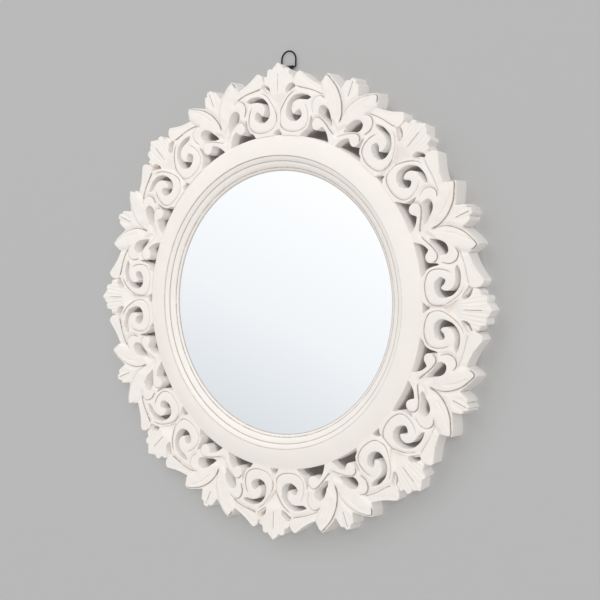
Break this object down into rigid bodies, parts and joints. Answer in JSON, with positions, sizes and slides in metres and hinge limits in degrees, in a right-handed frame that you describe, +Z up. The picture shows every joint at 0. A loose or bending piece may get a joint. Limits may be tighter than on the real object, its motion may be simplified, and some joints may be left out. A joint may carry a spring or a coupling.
{
  "type": "wall mirror",
  "caption": "Round wall mirror in a carved, pierced wooden frame of scrolls, leaves and fans, hung by a steel D-ring.",
  "frame": {"origin": "the mirror's centre on the wall plane, which is the plane of the bumpers' rear faces", "axes": "+Z up, +Y into the wall, the glass faces -Y, +X to the right seen from the front"},
  "size_m": [0.8, 0.0407, 0.8255],
  "materials": {
    "whitewashed_wood": "chalky white paint, worn on edges and in grooves",
    "beech": "bare",
    "silvered_glass": "polished, silvered",
    "grey_card": "plain card",
    "brown_board": "smooth hardboard",
    "zinc": "zinc plated",
    "black_steel": "gloss black",
    "rubber": "matt"
  },
  "bodies": {
    "root": {"backboard": "brown_board", "backboard_screws": "zinc", "backing_card": "grey_card", "band_dowels": "beech", "band_ring": "whitewashed_wood", "carved_segment_1": "whitewashed_wood", "carved_segment_2": "whitewashed_wood", "carved_segment_3": "whitewashed_wood", "carved_segment_4": "whitewashed_wood", "carved_segment_5": "whitewashed_wood", "carved_segment_6": "whitewashed_wood", "carved_segment_7": "whitewashed_wood", "carved_segment_8": "whitewashed_wood", "hanger_screws": "zinc", "hanger_strap": "black_steel", "mirror_glass": "silvered_glass", "moulding_ring": "whitewashed_wood", "segment_dowels": "beech", "wall_bumpers": "rubber"},
    "ring": {"hanger_ring": "black_steel"}
  },
  "joints": [
    {"name": "ring_swing", "type": "hinge", "parent": "root", "child": "ring", "pos_m": [-0.0024, -0.00325, 0.397], "axis": [-1, 0, 0], "range_deg": [0, 170]}
  ]
}
